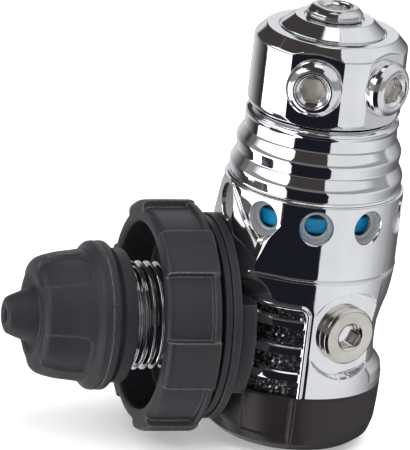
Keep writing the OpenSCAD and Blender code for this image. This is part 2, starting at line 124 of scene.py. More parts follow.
def skin(name, rings, sharp=50):
    """A closed mesh over rings of points in millimetres; a ring of one point is a pole."""
    verts = np.concatenate(rings)
    starts = np.cumsum([0] + [len(r) for r in rings])
    faces = []
    for i in range(len(rings) - 1):
        a, b, na, nb = starts[i], starts[i + 1], len(rings[i]), len(rings[i + 1])
        n = max(na, nb)
        j = np.arange(n)
        k = (j + 1) % n
        if na == nb:
            faces += np.stack([a + j, a + k, b + k, b + j], 1).tolist()
        elif na == 1:
            faces += np.stack([np.full(n, a), b + k, b + j], 1).tolist()
        else:
            faces += np.stack([a + j, a + k, np.full(n, b)], 1).tolist()
    return made(name, verts, faces, sharp)


def loop_skin(name, rings, sharp=50):
    """Like skin, but the last ring joins the first, for a ring-shaped solid."""
    verts = np.concatenate(rings)
    n, m = len(rings[0]), len(rings)
    j = np.arange(n)
    k = (j + 1) % n
    faces = []
    for i in range(m):
        a, b = i * n, ((i + 1) % m) * n
        faces += np.stack([a + j, a + k, b + k, b + j], 1).tolist()
    return made(name, verts, faces, sharp)


def made(name, verts, faces, sharp):
    mesh = bpy.data.meshes.new(name)
    mesh.from_pydata((verts * MM).tolist(), [], faces)
    bm = bmesh.new()
    bm.from_mesh(mesh)
    bmesh.ops.recalc_face_normals(bm, faces=bm.faces)
    bm.to_mesh(mesh)
    bm.free()
    mesh.polygons.foreach_set("use_smooth", [True] * len(mesh.polygons))
    mesh.set_sharp_from_angle(angle=math.radians(sharp))
    obj = bpy.data.objects.new(name, mesh)
    bpy.context.scene.collection.objects.link(obj)
    return obj


def angles(n):
    return np.arange(n) * 360.0 / n


def ring_at(r, z, az):
    """A ring at height z; r is a number or one value per angle."""
    a = np.radians(az)
    r = np.broadcast_to(np.asarray(r, float), a.shape)
    z = np.broadcast_to(np.asarray(z, float), a.shape)
    return np.stack([r * np.cos(a), r * np.sin(a), z], 1)


def profile_rings(profile, az, shaped=None):
    """One ring per profile point, a pole where the radius is zero; shaped turns (r, z) into radii."""
    rings = []
    for r, z in profile:
        if r < 1e-6:
            rings.append(np.array([[0, 0, z]]))
        else:
            rings.append(ring_at(shaped(r, z) if shaped else r, z, az))
    return rings


def lathe(name, profile, n=256, sharp=50, closed=False):
    rings = profile_rings(profile, angles(n))
    return loop_skin(name, rings, sharp) if closed else skin(name, rings, sharp)


def on_din(obj):
    """A piece drawn along +Z moves onto the DIN axis, its height becoming the distance along -X."""
    obj.data.transform(Matrix.Translation((0, 0, DIN_Z * MM)) @ Matrix.Rotation(math.radians(-90), 4, "Y"))
    return obj


def on_port(obj, angle, z):
    """A piece drawn along +Z moves onto a radial axis of the body."""
    obj.data.transform(
        Matrix.Translation((0, 0, z * MM))
        @ Matrix.Rotation(math.radians(angle), 4, "Z")
        @ Matrix.Rotation(math.radians(90), 4, "Y")
    )
    return obj


def lifted(obj, z):
    obj.data.transform(Matrix.Translation((0, 0, z * MM)))
    return obj


def settle(obj, material, body, slot, *nodes):
    """Gives a piece its material, body and the CAD nodes it stands for; the slot argument is not used."""
    if len(obj.data.materials):
        obj.data.materials.clear()
    for m in material if isinstance(material, tuple) else (material,):
        obj.data.materials.append(m)
    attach(obj, body)
    if nodes:
        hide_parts(*nodes)
    return obj


def cut_with(obj, cutters, solver="MANIFOLD"):
    """Subtracts the cutters from the piece and removes them."""
    for c in cutters:
        m = obj.modifiers.new("cut", "BOOLEAN")
        m.operation, m.object, m.solver = "DIFFERENCE", c, solver
    dg = bpy.context.evaluated_depsgraph_get()
    mesh = bpy.data.meshes.new_from_object(obj.evaluated_get(dg))
    obj.modifiers.clear()
    old = obj.data
    obj.data = mesh
    mesh.name = obj.name
    bpy.data.meshes.remove(old)
    for c in cutters:
        data = c.data
        bpy.data.objects.remove(c)
        bpy.data.meshes.remove(data)
    mesh.polygons.foreach_set("use_smooth", [True] * len(mesh.polygons))
    mesh.set_sharp_from_angle(angle=math.radians(35))
    return obj


# ---------------------------------------------------------------- material helpers

class Graph:
    """A node material built by calls; an input takes a constant or another node's socket."""

    def __init__(self, tree):
        self.tree = tree
        self.nodes = tree.nodes
        self.nodes.clear()

    def add(self, kind, inputs=None, out=0, **props):
        node = self.nodes.new(kind)
        for key, value in props.items():
            setattr(node, key, value)
        for key, value in (inputs or {}).items():
            socket = node.inputs[key]
            if isinstance(value, bpy.types.NodeSocket):
                self.tree.links.new(value, socket)
            else:
                socket.default_value = value
        return node.outputs[out] if len(node.outputs) else node

    def maths(self, operation, a, b=0.0, c=0.0, clamp=False):
        return self.add("ShaderNodeMath", {0: a, 1: b, 2: c}, operation=operation, use_clamp=clamp)

    def noise(self, scale, detail=3.0, roughness=0.5, vector=None, distortion=0.0):
        inputs = {"Scale": scale, "Detail": detail, "Roughness": roughness, "Distortion": distortion}
        if vector is not None:
            inputs["Vector"] = vector
        return self.add("ShaderNodeTexNoise", inputs)

    def ramp(self, value, lo, hi, out_lo, out_hi, smooth=True):
        return self.add(
            "ShaderNodeMapRange",
            {"Value": value, "From Min": lo, "From Max": hi, "To Min": out_lo, "To Max": out_hi},
            interpolation_type="SMOOTHSTEP" if smooth else "LINEAR",
        )

    def mix(self, factor, a, b):
        return self.add(
            "ShaderNodeMix", {0: factor, 6: rgba(a), 7: rgba(b)}, out=2, data_type="RGBA"
        )

    def stretched(self, vector, scale):
        return self.add("ShaderNodeMapping", {"Vector": vector, "Scale": scale})

    def bump(self, height, distance, strength=1.0, normal=None):
        inputs = {"Height": height, "Distance": distance, "Strength": strength}
        if normal is not None:
            inputs["Normal"] = normal
        return self.add("ShaderNodeBump", inputs)


def rgba(c):
    if isinstance(c, bpy.types.NodeSocket):
        return c
    return (*c, 1.0) if len(c) == 3 else c


def surface(name):
    material = bpy.data.materials.new(name)
    material.use_nodes = True
    g = Graph(material.node_tree)
    g.place = g.add("ShaderNodeTexCoord", out=3)
    return material, g


def finished(g, **inputs):
    shader = g.add("ShaderNodeBsdfPrincipled", inputs)
    g.add("ShaderNodeOutputMaterial", {"Surface": shader})


def edge_mask(g, radius):
    """1 at convex and concave edges, 0 on open surfaces."""
    rounded = g.add("ShaderNodeBevel", {"Radius": radius}, samples=4)
    flat = g.add("ShaderNodeNewGeometry", out=1)
    same = g.add("ShaderNodeVectorMath", {0: rounded, 1: flat}, out=1, operation="DOT_PRODUCT")
    return g.ramp(same, 0.985, 0.86, 0.0, 1.0)


def metal(name, light, dark, rough, grain=0.0015, smudge=0.05,
          rough_where=None, satin_where=None, metallic=1.0):
    """Plated or turned metal: soft smudges, fine handling marks and slightly duller edges."""
    material, g = surface(name)
    smudges = g.noise(130, 4, 0.6, g.place)
    fine = g.noise(2600, 2, 0.5, g.place)
    scratches = g.noise(900, 3, 0.6, g.stretched(g.place, (1.0, 1.0, 9.0)))
    edges = edge_mask(g, 0.00025)
    tone = g.mix(g.ramp(smudges, 0.35, 0.7, 0.0, 1.0), light, dark)
    tone = g.mix(g.maths("MULTIPLY", edges, 0.35), tone, [min(1, c * 1.05) for c in light])
    polish = g.ramp(smudges, 0.3, 0.75, rough, rough + smudge)
    polish = g.maths("ADD", polish, g.maths("MULTIPLY", edges, 0.06))
    polish = g.maths("ADD", polish, g.ramp(scratches, 0.62, 0.8, 0.0, 0.05))
    normal = g.bump(fine, 0.00002, 0.12)
    normal = g.bump(g.noise(210, 2, 0.4, g.place), 0.0001, 0.10 * grain / 0.0015, normal)
    if satin_where is not None:
        mask = satin_where(g)
        tone = g.mix(mask, tone, (0.46, 0.46, 0.47))
        polish = g.maths("MAXIMUM", polish, g.maths("MULTIPLY", mask, 0.34))
        metallic = g.maths("SUBTRACT", 1.0, g.maths("MULTIPLY", mask, 0.5))
    if rough_where is not None:
        mask = rough_where(g)
        cast = g.noise(1500, 4, 0.7, g.place)
        speckle = g.mix(g.ramp(cast, 0.52, 0.68, 0.0, 1.0), (0.045, 0.045, 0.05), (0.70, 0.71, 0.72))
        tone = g.mix(mask, tone, speckle)
        polish = g.maths("MAXIMUM", polish, g.maths("MULTIPLY", mask, 0.30))
        normal = g.bump(cast, 0.0003, g.maths("MULTIPLY", mask, 1.0), normal)
    finished(g, **{"Base Color": tone, "Metallic": metallic, "Roughness": polish, "Normal": normal})
    return material


def radial_parts(g):
    split = g.add("ShaderNodeSeparateXYZ", {0: g.place})
    x, y, z = split.node.outputs
    return x, z, g.maths("SQRT", g.maths("ADD", g.maths("MULTIPLY", x, x), g.maths("MULTIPLY", y, y)))


def window_cones(g):
    """1 inside the countersinks of the water windows."""
    _, z, radial = radial_parts(g)
    deep = g.ramp(radial, (BODY_R - 0.75) * MM, (BODY_R - 0.45) * MM, 1.0, 0.0)
    return g.maths("MULTIPLY", deep, g.ramp(z, 46.5 * MM, 47.0 * MM, 0.0, 1.0))


def painted_sleeve_shadow(g):
    """1 on the bands of painted shadow on the sleeve above and below the middle of the water windows, where
    the window lips would shade it.
    """
    _, z, _ = radial_parts(g)
    over = g.ramp(z, (WINDOW_Z + 0.5) * MM, (WINDOW_Z + 1.2) * MM, 0.0, 1.0)
    under = g.ramp(z, (WINDOW_Z - 2.5) * MM, (WINDOW_Z - 1.7) * MM, 1.0, 0.0)
    return g.maths("MAXIMUM", over, under)


def rib_pockets(g):
    """1 on the cast floors between the ribs beside the DIN boss."""
    x, z, radial = radial_parts(g)
    deep = g.ramp(radial, (BODY_R - 0.98) * MM, (BODY_R - 0.86) * MM, 1.0, 0.0)
    forward = g.ramp(x, -3.5 * MM, -3.2 * MM, 1.0, 0.0)
    low = g.ramp(z, 33.5 * MM, 34.0 * MM, 1.0, 0.0)
    hollow = g.ramp(radial, 16.6 * MM, 16.8 * MM, 0.0, 1.0)
    return g.maths("MULTIPLY", g.maths("MULTIPLY", deep, forward), g.maths("MULTIPLY", low, hollow))


def polymer(name, base, edge_wear_and_highlight_colour, rough, grain_scale, grain_depth, specular=0.5, coat=0.0, painted_shadow=None):
    """Moulded plastic or rubber: cloudy tone, a fine moulded grain, paler edges that are partly rubbing wear
    and partly a painted highlight, and painted shadow where a mask is given.
    """
    material, g = surface(name)
    cloud = g.noise(90, 4, 0.6, g.place)
    grain = g.noise(grain_scale, 3, 0.65, g.place)
    edges = edge_mask(g, 0.0007)
    tone = g.mix(g.ramp(cloud, 0.3, 0.75, 0.0, 1.0), base, [c * 1.25 for c in base])
    tone = g.mix(g.ramp(grain, 0.45, 0.75, 0.0, 0.5), tone, [c * 1.6 for c in base])
    # paler edges: partly rubbing wear, partly a painted highlight on the bevels, speckled by the grain
    edge_wear_and_highlight = g.maths("MULTIPLY", edges, g.ramp(grain, 0.35, 0.6, 0.25, 1.0))
    tone = g.mix(g.maths("MULTIPLY", edge_wear_and_highlight, 0.7), tone, edge_wear_and_highlight_colour)
    # painted shadow: where the mask is 1, the tone darkens to a small share of the base colour
    if painted_shadow is not None:
        tone = g.mix(painted_shadow(g), tone, [c * 0.08 for c in base])
    polish = g.ramp(cloud, 0.3, 0.8, rough - 0.06, rough + 0.08)
    polish = g.maths("SUBTRACT", polish, g.maths("MULTIPLY", edge_wear_and_highlight, 0.08))
    normal = g.bump(grain, grain_depth, 1.0)
    inputs = {"Base Color": tone, "Roughness": polish, "Specular IOR Level": specular, "Normal": normal}
    if coat:
        inputs["Coat Weight"], inputs["Coat Roughness"] = coat, 0.2
    finished(g, **inputs)
    return material


# ---------------------------------------------------------------- materials

chrome = metal("chrome_plate", (0.93, 0.94, 0.95), (0.87, 0.88, 0.90), 0.03)
body_chrome = metal("body_chrome", (0.93, 0.94, 0.95), (0.87, 0.88, 0.90), 0.03, rough_where=rib_pockets,
    satin_where=window_cones)
socket_steel = metal("socket_floor", (0.66, 0.62, 0.56), (0.34, 0.31, 0.27), 0.5, 0.02, 0.2, metallic=0.55)
plug_steel = metal("plug_chrome", (0.88, 0.88, 0.89), (0.78, 0.78, 0.79), 0.07)
nickel = metal("warm_nickel", (0.78, 0.75, 0.69), (0.66, 0.63, 0.57), 0.13)
stainless = metal("turned_stainless", (0.72, 0.72, 0.73), (0.60, 0.60, 0.61), 0.22)
spring_steel = metal("spring_wire", (0.62, 0.65, 0.68), (0.48, 0.5, 0.54), 0.26)
bronze = metal("sintered_bronze", (0.62, 0.42, 0.22), (0.45, 0.29, 0.14), 0.5, 0.004, 0.15)
rubber_ring = polymer("o_ring", (0.012, 0.012, 0.013), (0.05, 0.05, 0.05), 0.45, 3000, 0.00001)
# the blue sleeve carries bands of painted shadow above and below the middle of the windows
blue_plastic = polymer("blue_insulator", (0.004, 0.20, 0.42), (0.1, 0.5, 0.8), 0.3, 1500, 0.00001, 0.4,
    painted_shadow=painted_sleeve_shadow)
white_plastic = polymer("white_polymer", (0.7, 0.68, 0.62), (0.85, 0.84, 0.8), 0.45, 1500, 0.00001)
cover_black = polymer("cover_satin_black", (0.016, 0.0125, 0.0125), (0.06, 0.054, 0.052), 0.33, 1600,
    0.000012, 0.35)
collar_black = polymer("collar_black", (0.018, 0.0175, 0.021), (0.10, 0.10, 0.11), 0.42, 1800, 0.00002, 0.35)
# the pale edge colours of the handwheel and dust cap are partly wear and partly a painted highlight on their
# bevels
wheel_black = polymer("wheel_black", (0.0185, 0.018, 0.0215), (0.26, 0.26, 0.27), 0.40, 1900, 0.00011, 0.4)
cap_black = polymer("cap_rubber", (0.0185, 0.0178, 0.0210), (0.22, 0.22, 0.23), 0.42, 2000, 0.00010, 0.4)


# ---------------------------------------------------------------- body

def waist_depth(az, z):
    """Radius left by the waist that the back of the body is drawn in to."""
    curve_z = [15.2, 17.0, 17.8, 18.7, 21.5, 23.9, 26.8, 29.5, 33.2, 36.0, 38.0]
    curve_r = [19.2, 18.6, 17.9, 16.8, 16.56, 16.53, 16.67, 17.2, 18.2, 18.75, 19.2]
    r = np.interp(z, curve_z, curve_r, left=19.4, right=19.4)
    away = smoothstep(46, 58, np.abs(wrap_deg(az)))
    return r + away * 3


def seat_depth(az, z, radius, side):
    """The shallow round flat that a high pressure plug sits on."""
    off = np.radians(np.clip(wrap_deg(az - side * SIDE_ANGLE), -60, 60))
    plane = SEAT_D / np.cos(off)
    rho = np.hypot(SEAT_D * np.tan(off), z - SIDE_Z)
    inside = 1 - smoothstep(SEAT_R - 0.05, SEAT_R + 0.4, rho)
    low = np.minimum(radius, plane)
    return radius * (1 - inside) + low * inside


def rib_relief(az, z, radius, side):
    """The framed panel of cast ribs beside the DIN boss: a raised frame, bevelled ribs and rough pockets."""
    from_az, to_az = RIB_PANEL_AZ
    across = (wrap_deg(az) * side - (from_az + to_az) / 2) * math.pi / 180 * BODY_R
    half_w = (to_az - from_az) / 2 * math.pi / 180 * BODY_R
    bottom, top = RIB_PANEL_Z
    up, half_h = z - (top + bottom) / 2, (top - bottom) / 2
    corner = RIB_PANEL_CORNER
    qx, qy = np.abs(across) - half_w + corner, np.abs(up) - half_h + corner
    dist = np.hypot(np.maximum(qx, 0), np.maximum(qy, 0)) + np.minimum(np.maximum(qx, qy), 0) - corner
    rim = 0.34 * np.exp(-(np.abs(dist - 0.5) / 0.5) ** 3) - 0.16 * np.exp(-((dist - 1.15) / 0.22) ** 2)
    ribs = np.zeros_like(z * 1.0)
    for c in RIB_CENTRES:
        t = np.clip(np.abs(z - c) / (RIB_T / 2), 0, 1)
        ribs = np.maximum(ribs, smin(np.clip((1 - t) / RIB_BEVEL, 0, 2), 1 - RIB_CROWN * t ** 2, 0.06))
    casting = 0.07 * np.sin(across * 5.1 + z * 2.3) * np.sin(z * 6.7 - across * 1.9)
    casting = casting + 0.04 * np.sin(across * 11 - z * 9)
    bumps = np.zeros_like(z * 1.0)
    for c in RIB_CENTRES:
        for spot in BUMP_SPOTS:
            bumps = np.maximum(bumps, np.exp(-((across - spot) ** 2 + (z - c + RIB_PITCH / 2) ** 2) / 0.16))
    depth = RIB_DEPTH * (1 - 0.97 * ribs) - (casting + 0.55 * bumps) * (1 - smoothstep(0.0, 0.35, ribs))
    inside = 1 - smoothstep(-0.4, 0.0, dist)
    return radius - depth * inside + rim


def web_radius(az, z, radius):
    """The fairing that carries the barrel forward to the collar: a crease above, flat cheeks at the sides."""
    off = np.abs(wrap_deg(az - 180))
    crease = np.interp(off, CREASE_ANGLES, CREASE_Z)
    cheek = CHEEK_D / np.cos(np.radians(np.clip(CHEEK_ANGLE - off, -60, 60)))
    reach = np.minimum(CROWN_END / np.cos(np.radians(np.minimum(off, 60))), cheek)
    reach = np.where(off < CHEEK_ANGLE, np.maximum(reach, BODY_R), BODY_R)
    below = np.maximum(crease - z, 0)
    flare = smin(BODY_R + WEB_LIP * smoothstep(0, WEB_LIP_HEIGHT, below) + WEB_SLOPE * below, reach, 0.2)
    web = -smin(-radius, -flare, 0.06)
    web = np.where((z > crease + 0.3) | (reach <= BODY_R), radius, web)
    near = smoothstep(WEB_START_Z, WEB_FULL_Z, z)
    return radius + (web - radius) * near


def body_radius(az, z):
    r = np.full_like(z * 1.0, BODY_R)
    r = smin(r, waist_depth(az, z), 0.8)
    r = web_radius(az, z, r)
    bead = np.exp(-((z - BEAD_Z - 0.32) / 0.2) ** 2) * 0.14 - np.exp(-((z - BEAD_Z + 0.05) / 0.16) ** 2) * 0.3
    r = r + bead
    for side in (-1, 1):
        r = seat_depth(az, z, r, side)
        r = rib_relief(az, z, r, side)
    return r


def window_cutter(angle):
    """Countersunk water window: a wide cone, a thin lip and a wider bore behind it."""
    reach = BODY_R
    profile = soften([
        (0, 14.2), (WINDOW_BORE_R, 14.2), (WINDOW_BORE_R, reach - 3.1), (2.45, reach - 2.9),
        (WINDOW_HOLE_R, reach - 2.6), (2.42, reach - 2.3), (2.6, reach - 2.18), (2.76, reach - 2.27),
        (2.86, reach - 2.2), (3.5, reach - 0.5), (WINDOW_MOUTH_R, reach - 0.12), (3.95, reach + 0.12),
        (4.6, reach + 0.6), (5.5, reach + 3.6), (0, reach + 3.6),
    ], 0.12, 3)
    return on_port(lathe("window_cutter", profile, 96), angle, WINDOW_Z)


def build_body():
    n = 720
    az = angles(n)
    rows = list(np.arange(COVER_Z + 0.35, SEAM_Z - 0.3, 0.17))
    rows += list(np.arange(BEAD_Z - 0.5, BEAD_Z + 0.9, 0.06))
    rows += [COVER_Z + 0.02, COVER_Z + 0.12, SEAM_Z - 0.12]
    foot = body_radius(az, np.full(n, COVER_Z)) - 0.2
    rings = [np.array([[0, 0, COVER_Z]]), ring_at(12, COVER_Z, az), ring_at(foot, COVER_Z, az)]
    for z in sorted(rows):
        rings.append(ring_at(body_radius(az, np.full(n, z)), z, az))
    top = body_radius(az, np.full(n, SEAM_Z))
    for inset, z in ((0.05, SEAM_Z - 0.04), (0.16, SEAM_Z)):
        rings.append(ring_at(top - inset, z, az))
    rings += [ring_at(CHAMBER_R, z, az) for z in (SEAM_Z, 48, CHAMBER_FLOOR)]
    rings += [ring_at(8, CHAMBER_FLOOR, az), np.array([[0, 0, CHAMBER_FLOOR]])]
    body = skin("body_casting", rings, 50)
    cutters = [window_cutter(WINDOW_PHASE + 360 / WINDOW_COUNT * i) for i in range(WINDOW_COUNT)]
    cut_with(body, cutters)
    return settle(body, body_chrome, "first_stage", "chrome", "body")


# ---------------------------------------------------------------- cap, turret, bolt

def build_ridged_cap():
    """Cap with two bands stepped out under sloping shoulders, a bead at the top and the piston's bore."""
    profile = soften([
        (BOLT_HOLE_R, CAP_TOP_Z), (BOLT_HOLE_R, BORE_TOP_Z), (PISTON_BORE_R, BORE_TOP_Z),
        (PISTON_BORE_R, 60.3), (16.0, 60.3), (16.3, 56.6), (18.3, SEAM_Z + 0.05), (18.4, SEAM_Z + 0.15),
        (18.05, 56.3), (17.98, 56.6), (18.2, 58.5), (18.2, 58.85), (18.12, 59.25), (17.93, 59.7),
        (17.16, 61.2), (17.03, 61.5), (17.05, 61.8), (17.34, 63.75), (17.35, 64.1), (17.27, 64.5),
        (17.07, 64.95), (16.16, 66.55), (16.05, 66.85), (15.93, 69.3), (16.1, 69.7), (16.2, 70.1),
        (15.95, 70.6), (15.1, 71.0), (14.7, CAP_TOP_Z), (12.1, CAP_TOP_Z), (12.1, 70.6), (7.9, 70.6),
        (7.9, CAP_TOP_Z),
    ], 0.3, 5)
    cap = lathe("ridged_cap_shell", finer(profile, 0.8), 512, 40, True)
    return settle(cap, chrome, "first_stage", "chrome", "ridged_cap")


def turret_radius(az, r):
    """The turret's radius after its four port flats are milled."""
    for a in LP_ANGLES:
        off = np.radians(np.clip(wrap_deg(az - a), -70, 70))
        r = smin(r, FLAT_D / np.cos(off), 0.12)
    return r


def build_turret():
    az = angles(1080)
    profile = finer(soften([
        (0, TURRET_Z), (TURRET_R - 1.5, TURRET_Z), (TURRET_R - 0.5, TURRET_Z + 0.35),
        (TURRET_R, TURRET_Z + 1.4), (TURRET_R, CONE_Z), (LEDGE_R, LEDGE_Z), (BOLT_HEAD_R + 0.35, LEDGE_Z),
        (BOLT_HEAD_R + 0.2, LEDGE_Z - 0.3), (0, LEDGE_Z - 0.3),
    ], 0.35, 5), 0.6)
    rings = profile_rings(profile, az, lambda r, z: turret_radius(az, r) if r > TURRET_NECK_R else r)
    return settle(skin("turret_shell", rings, 40), chrome, "turret", "chrome", "turret")


def build_bolt():
    profile = soften([
        (0, LEDGE_Z - 0.2), (BOLT_HEAD_R - 0.1, LEDGE_Z - 0.2), (BOLT_HEAD_R, LEDGE_Z + 0.25),
        (BOLT_TOP_R, BOLT_TOP_Z), (6.3, BOLT_TOP_Z), (6.2, BOLT_TOP_Z - 0.4), (0, BOLT_TOP_Z - 0.4),
    ], 0.22, 5)
    bolt = lathe("turret_bolt_head", finer(profile, 0.8), 360, 40)
    return settle(bolt, chrome, "first_stage", "chrome", "turret_bolt")


# ---------------------------------------------------------------- plugs

def hexagon(az, corner_r, softness=0.12):
    """Radius of a hexagon with slightly rounded corners."""
    off = (np.asarray(az) + 30) % 60 - 30
    r = corner_r * math.cos(math.radians(30)) / np.cos(np.radians(off))
    return smin(r, np.full_like(r, corner_r - softness), 0.1)


def socket_rings(az, top, rim_r, corner_r, depth):
    """Rings from a countersunk rim down a hexagon socket to its flat floor."""
    hexa = hexagon(az, corner_r)
    lip = (rim_r - hexa) * 0.55
    rings = [ring_at(rim_r, top, az), ring_at(rim_r - 0.06, top - 0.05, az)]
    rings += [ring_at(hexa + 0.03, top - 0.05 - lip, az), ring_at(hexa, top - 0.1 - lip, az)]
    rings += [ring_at(hexa - 0.01 * i, top - 0.1 - lip - (depth - 0.2 - lip) * i / 3, az) for i in (1, 2)]
    rings += [ring_at(hexa - 0.05, top - depth + 0.08, az), ring_at(hexa - 0.15, top - depth, az)]
    tool_marks = ((0.7, 0.0), (0.55, 0.02), (0.35, -0.12), (0.15, -0.2))
    rings += [ring_at(corner_r * f, top - depth + d, az) for f, d in tool_marks]
    rings.append(np.array([[0, 0, top - depth - 0.22]]))
    return rings


def socket_floor(plug, below):
    """The bottom of the hexagon socket keeps its tool marks, as the second material."""
    for face in plug.data.polygons:
        x, y, z = face.center / MM
        if math.hypot(x, y) < 2.6 and -1 < z < below:
            face.material_index = 1
    return plug


def domed_plug(name, head=1.0):
    """Port plug with a domed ring head, a recessed rim and a hexagon socket; head scales its height."""
    az = angles(192)
    outer = soften([
        (0, -6.0), (4.4, -6.0), (4.7, -5.7), (4.7, -0.1), (5.6, -0.1), (5.95, 0.2), (5.95, 1.0),
        (5.75, 1.7), (5.2, 2.45), (4.6, 2.9), (4.1, 3.1), (3.8, 3.1), (3.6, 2.95), (3.5, 2.7),
        (3.42, 2.68), (3.34, 2.75),
    ], 0.12, 4)
    rings = profile_rings(outer, az)
    rings += socket_rings(az, DOME_RIM_Z, 3.3, SOCKET_R, 2.2)
    rings = [r * ((1, 1, head) if r[0, 2] > 0.3 else (1, 1, 1)) for r in rings]
    return socket_floor(skin(name, rings, 40), DOME_RIM_Z - FLOOR_BELOW_RIM)


def flat_plug(name):
    """High pressure plug with a flat disc head."""
    az = angles(192)
    outer = soften([
        (0, -6.0), (5.2, -6.0), (5.5, -5.7), (5.5, -1.3), (4.9, -1.2), (4.9, 0.02), (6.05, 0.02),
        (6.2, 0.2), (6.2, SIDE_HEAD_T - 0.6), (5.6, SIDE_HEAD_T), (3.2, SIDE_HEAD_T),
    ], 0.16, 4)
    rings = profile_rings(outer, az)
    rings += socket_rings(az, SIDE_RIM_Z, 3.1, SOCKET_R, 2.3)
    return socket_floor(skin(name, rings, 40), SIDE_RIM_Z - FLOOR_BELOW_RIM)


def build_plugs():
    for i, a in enumerate(LP_ANGLES):
        plug = on_port(lifted(domed_plug(f"lp_plug_{i + 1}"), FLAT_D), a, LP_Z)
        settle(plug, (plug_steel, socket_steel), "turret", "chrome_plugs", "lp_plugs")
    plug = lifted(domed_plug("axial_port_plug", TOP_HEAD_SCALE), BOLT_TOP_Z)
    settle(plug, (plug_steel, socket_steel), "first_stage", "chrome_plugs", "top_plug")
    for i, side in enumerate((-1, 1)):
        plug = on_port(lifted(flat_plug(f"high_pressure_plug_{i + 1}"), SEAT_D), side * SIDE_ANGLE, SIDE_Z)
        settle(plug, (nickel, socket_steel), "first_stage", "nickel", "high_pressure_plugs")


# ---------------------------------------------------------------- base cover, pads and collar

def cover_radius(az, r, z):
    """The cover's radius with two fine beads and a sunk panel on each side."""
    radius = np.full(len(az), r)
    if r <= 15.5 or not 1.0 < z < 13.45:
        return radius
    for side in (-1, 1):
        turn = wrap_deg(az) * side
        for centre in COVER_BEADS:
            radius = radius + COVER_BEAD_HEIGHT * np.exp(-((turn - centre) / 0.55) ** 2)
        panel = smoothstep(107.4, 108.2, turn) * (1 - smoothstep(139, 140, turn)) * smoothstep(4.0, 4.8, z)
        radius = radius - COVER_PANEL_DEPTH * panel
    return radius


def build_cover():
    az = angles(720)
    base = finer(soften([
        (0, 0), (13.6, 0), (15.6, 0.75), (17.7, 2.5), (18.5, 5.2), (18.8, 9.5), (18.9, 13.0),
        (18.75, 13.5), (16.2, 13.5), (16.1, 12.4), (0, 12.4),
    ], 0.5, 6), 0.35)
    cover = skin("base_cover_shell", profile_rings(base, az, lambda r, z: cover_radius(az, r, z)), 40)
    return settle(cover, cover_black, "first_stage", "cover_plastic", "base_cover")


def build_pads():
    """Two pads that fill the sides between the barrel and the collar: offset blocks with rounded edges."""
    for i, side in enumerate((-1, 1)):
        rows = []
        for z in np.linspace(COVER_Z + 0.2, PAD_TOP_Z, 60):
            up = z - DIN_Z
            y_out = math.sqrt(max(PAD_OUTER_R ** 2 - up ** 2, 1.0))
            y_in = max(math.sqrt(max(PAD_INNER_R ** 2 - up ** 2, 0.0)), 7.0)
            y_wall = max(math.sqrt(PAD_WALL_R ** 2 - 15.1 ** 2), y_in)
            ring = [(-15.2, y_out - 0.25), (PAD_BACK_X, y_out - 0.5), (PAD_BACK_X, y_wall + 0.05)]
            for t in np.linspace(0, 1, 6):
                y = y_wall + (y_in - y_wall) * t
                ring.append((min(-math.sqrt(max(PAD_WALL_R ** 2 - y ** 2, PAD_BACK_X ** 2)), PAD_BACK_X), y))
            ring += [
                (PAD_FRONT_X, y_in), (PAD_FRONT_X, y_out - 0.4), (-18.8, y_out - 0.15), (-18.5, y_out),
                (-15.5, y_out),
            ]
            rows.append(np.array([(x, side * y, z) for x, y in ring]))
        first, last = rows[0].mean(0, keepdims=True), rows[-1].mean(0, keepdims=True)
        pad = skin(f"side_pad_{i + 1}", [first] + rows + [last], 35)
        settle(pad, collar_black, "first_stage", "collar_plastic", "side_pads")


def build_collar():
    disc = soften([(7.7, 19.1), (21.55, 19.1), (21.7, 19.25), (21.7, 20.85), (21.55, 21.0), (7.7, 21.0)],
        0.08, 3)
    lip = soften([(7.7, 21.02), (21.05, 21.02), (21.2, 21.15), (21.2, 22.3), (21.0, 22.5), (7.7, 22.5)],
        0.08, 3)
    bands = (("collar_plate", disc, "collar_disc"), ("collar_front_lip", lip, "collar_lip"))
    for name, profile, node in bands:
        band = on_din(lathe(name, finer(profile, 2.0), 360, 40, True))
        settle(band, collar_black, "first_stage", "collar_plastic", node)


# ---------------------------------------------------------------- handwheel, thread and dust cap

def lobe_mask(az, softness):
    """1 on a grip lobe, 0 between lobes."""
    off = np.abs((az - LOBE_PHASE + 180 / LOBE_COUNT) % (360 / LOBE_COUNT) - 180 / LOBE_COUNT)
    return 1 - smoothstep(LOBE_WIDTH / 2 - softness, LOBE_WIDTH / 2 + softness, off)


def wheel_angles():
    """Angles spaced evenly, with extra ones at the lobe sides so that these stay crisp."""
    az = list(angles(360))
    for i in range(LOBE_COUNT):
        for edge in (-1, 1):
            middle = LOBE_PHASE + i * 360 / LOBE_COUNT + edge * LOBE_WIDTH / 2
            az += [(middle + d) % 360 for d in (-0.9, -0.6, -0.4, -0.2, -0.07, 0.07, 0.2, 0.4, 0.6, 0.9)]
    return np.array(sorted(set(round(a, 4) for a in az)))


